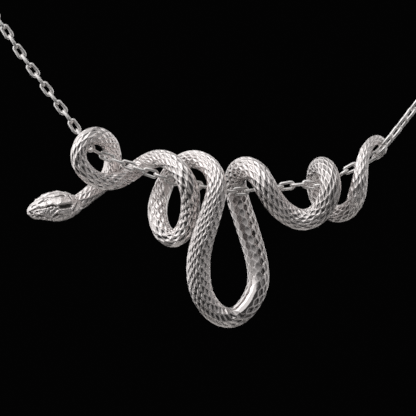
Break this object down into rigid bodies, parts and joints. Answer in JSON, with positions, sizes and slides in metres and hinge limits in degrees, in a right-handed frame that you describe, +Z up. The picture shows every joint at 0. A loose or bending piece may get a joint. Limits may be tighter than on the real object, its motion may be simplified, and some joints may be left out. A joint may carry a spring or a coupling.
{
  "type": "snake necklace",
  "caption": "Silver-coloured necklace: a cast snake pendant with net-like scales, coiled round a fine cable chain with a plain round clasp.",
  "frame": {"origin": "centre of the clasp, where the chain lies on the back of the wearer's neck", "axes": "+Z up, the snake hangs at the front on the -Y side, +X towards the snake's tail"},
  "size_m": [0.127, 0.1092, 0.1243],
  "materials": {
    "cast_silver": "cast silver with darkened recesses and polished scale edges",
    "chain_silver": "polished silver wire"
  },
  "bodies": {
    "root": {"chain_front": "chain_silver", "chain_left": "chain_silver", "chain_right": "chain_silver", "clasp": "chain_silver"},
    "pendant": {"snake": "cast_silver"}
  },
  "joints": [
    {"name": "snake_swing", "type": "hinge", "parent": "root", "child": "pendant", "pos_m": [0, -0.10323, -0.097], "axis": [1, 0, 0], "range_deg": [-8, 8]}
  ]
}
